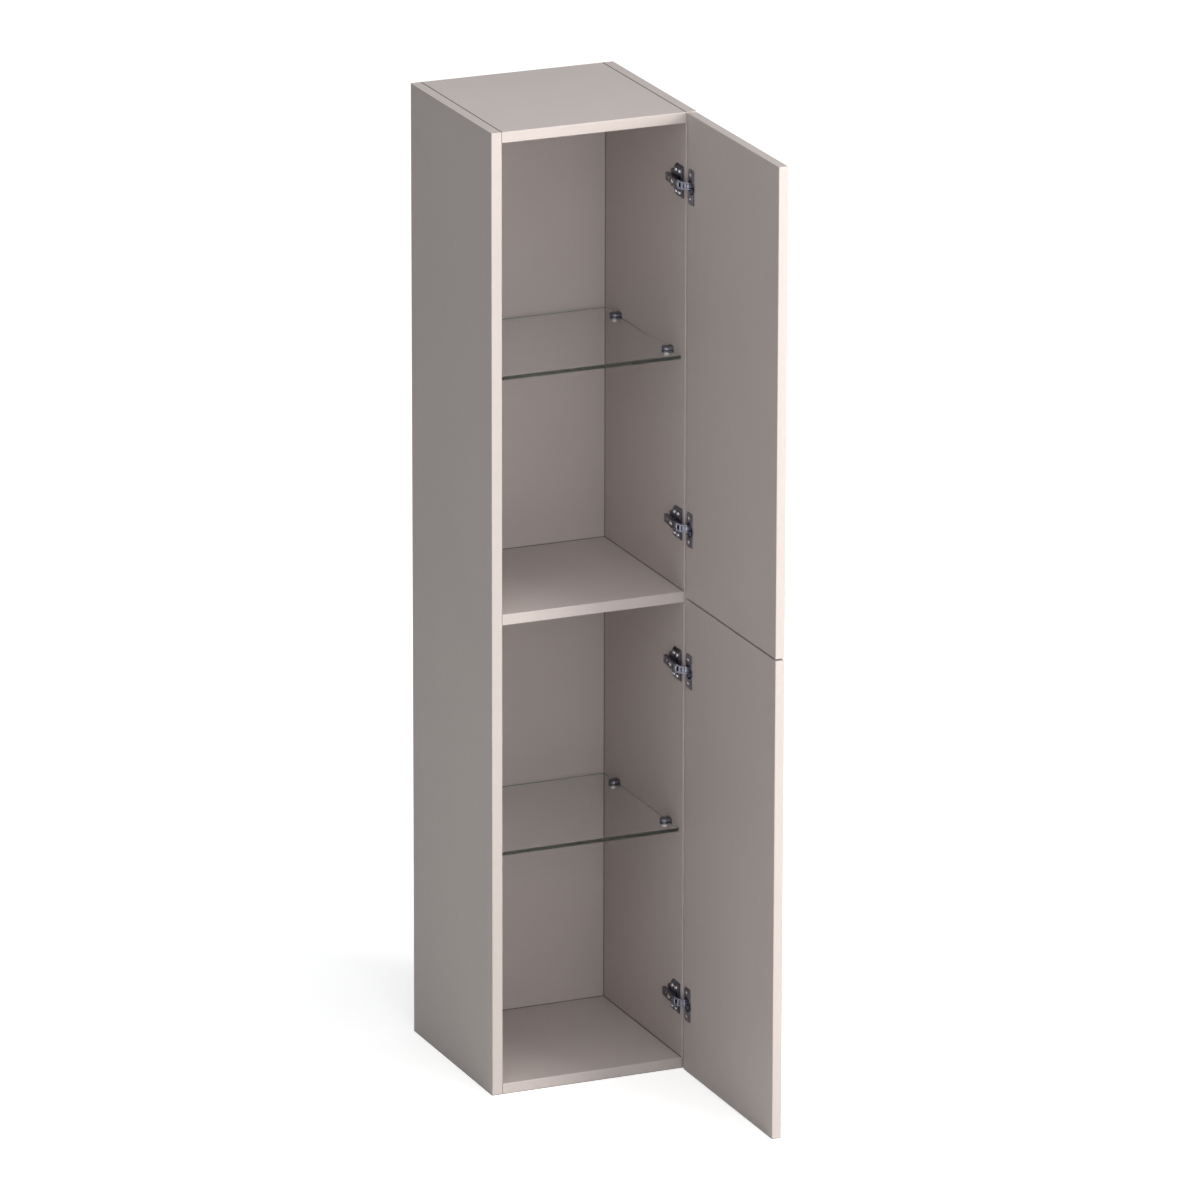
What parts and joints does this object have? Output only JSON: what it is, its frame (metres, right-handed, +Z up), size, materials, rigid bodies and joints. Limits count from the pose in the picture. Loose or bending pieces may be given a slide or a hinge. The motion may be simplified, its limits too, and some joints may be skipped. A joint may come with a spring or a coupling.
{
  "type": "column cabinet",
  "caption": "Tall narrow wall-hung column cabinet with stacked overlay doors on concealed cup hinges and clear glass shelves held in round clamps",
  "frame": {"origin": "centre of the underside of the carcass, the doors left out", "axes": "+X to the right as seen from the front, +Y to the rear, towards the wall, +Z up. The doors stand open towards -Y"},
  "size_m": [0.35, 0.688, 1.6],
  "materials": {
    "carcass_board": "smooth matt taupe foil on board",
    "door_board": "smooth matt taupe foil on board",
    "dowel_wood": "plain beech",
    "shelf_glass": "clear float glass with polished green edges",
    "clamp_chrome": "polished chrome on cast zinc",
    "clear_pad": "soft clear pad",
    "white_plastic": "moulded white plastic",
    "zinc_steel": "zinc-plated pressed steel",
    "dark_plastic": "dark moulded plastic",
    "dark_nickel": "nickel-plated pressed steel",
    "pin_steel": "turned steel",
    "screw_steel": "zinc-plated steel",
    "bright_nickel": "bright nickel-plated steel"
  },
  "bodies": {
    "cabinet": {"back_panel": "carcass_board", "bottom_panel": "carcass_board", "carcass_dowels": "dowel_wood", "hanger_adjusting_screws": "zinc_steel", "hinge_arm_screws": "screw_steel", "hinge_plate_screws": "screw_steel", "left_hanger_hook": "zinc_steel", "left_side_panel": "carcass_board", "left_wall_hanger": "white_plastic", "lower_door_bottom_hinge_arm": "dark_nickel", "lower_door_bottom_hinge_plate": "bright_nickel", "lower_door_top_hinge_arm": "dark_nickel", "lower_door_top_hinge_plate": "bright_nickel", "lower_glass_shelf": "shelf_glass", "lower_hinge_arm_pins": "pin_steel", "lower_shelf_clamps": "clamp_chrome", "lower_shelf_pads": "clear_pad", "lower_shelf_screws": "white_plastic", "middle_shelf": "carcass_board", "right_hanger_hook": "zinc_steel", "right_side_panel": "carcass_board", "right_wall_hanger": "white_plastic", "top_panel": "carcass_board", "upper_door_bottom_hinge_arm": "dark_nickel", "upper_door_bottom_hinge_plate": "bright_nickel", "upper_door_top_hinge_arm": "dark_nickel", "upper_door_top_hinge_plate": "bright_nickel", "upper_glass_shelf": "shelf_glass", "upper_hinge_arm_pins": "pin_steel", "upper_shelf_clamps": "clamp_chrome", "upper_shelf_pads": "clear_pad", "upper_shelf_screws": "white_plastic"},
    "upper_door": {"upper_door": "door_board", "upper_door_bottom_hinge_cup": "bright_nickel", "upper_door_top_hinge_cup": "bright_nickel", "upper_hinge_cup_pins": "pin_steel", "upper_hinge_cup_screws": "screw_steel", "upper_hinge_dampers": "dark_plastic"},
    "lower_door": {"lower_door": "door_board", "lower_door_bottom_hinge_cup": "bright_nickel", "lower_door_top_hinge_cup": "bright_nickel", "lower_hinge_cup_pins": "pin_steel", "lower_hinge_cup_screws": "screw_steel", "lower_hinge_dampers": "dark_plastic"},
    "upper_outer_links": {"upper_door_bottom_hinge_outer_link": "bright_nickel", "upper_door_top_hinge_outer_link": "bright_nickel"},
    "upper_inner_links": {"upper_door_bottom_hinge_inner_link": "bright_nickel", "upper_door_top_hinge_inner_link": "bright_nickel", "upper_hinge_follower_pins": "pin_steel"},
    "lower_outer_links": {"lower_door_bottom_hinge_outer_link": "bright_nickel", "lower_door_top_hinge_outer_link": "bright_nickel"},
    "lower_inner_links": {"lower_door_bottom_hinge_inner_link": "bright_nickel", "lower_door_top_hinge_inner_link": "bright_nickel", "lower_hinge_follower_pins": "pin_steel"}
  },
  "joints": [
    {"name": "upper_door_hinge", "type": "hinge", "parent": "upper_outer_links", "child": "upper_door", "pos_m": [0.16271, -0.1799, 1.2], "axis": [0, 0, 1], "range_deg": [-108.2, 6]},
    {"name": "upper_outer_link_pivot", "type": "hinge", "parent": "cabinet", "child": "upper_outer_links", "pos_m": [0.145, -0.163, 1.2], "axis": [0, 0, 1], "range_deg": [-1.1, 18.3]},
    {"name": "upper_inner_link_pivot", "type": "hinge", "parent": "cabinet", "child": "upper_inner_links", "pos_m": [0.15354, -0.16801, 1.2], "axis": [0, 0, 1], "range_deg": [-0.4, 5.5]},
    {"name": "lower_door_hinge", "type": "hinge", "parent": "lower_outer_links", "child": "lower_door", "pos_m": [0.16271, -0.1799, 0.3985], "axis": [0, 0, 1], "range_deg": [-108.2, 6]},
    {"name": "lower_outer_link_pivot", "type": "hinge", "parent": "cabinet", "child": "lower_outer_links", "pos_m": [0.145, -0.163, 0.3985], "axis": [0, 0, 1], "range_deg": [-1.1, 18.3]},
    {"name": "lower_inner_link_pivot", "type": "hinge", "parent": "cabinet", "child": "lower_inner_links", "pos_m": [0.15354, -0.16801, 0.3985], "axis": [0, 0, 1], "range_deg": [-0.4, 5.5]}
  ],
  "couplings": [
    {"joint": "upper_outer_link_pivot", "follows": "upper_door_hinge", "ratio": -0.1684},
    {"joint": "upper_inner_link_pivot", "follows": "upper_door_hinge", "ratio": -0.04948},
    {"joint": "lower_outer_link_pivot", "follows": "lower_door_hinge", "ratio": -0.1684},
    {"joint": "lower_inner_link_pivot", "follows": "lower_door_hinge", "ratio": -0.04948}
  ]
}
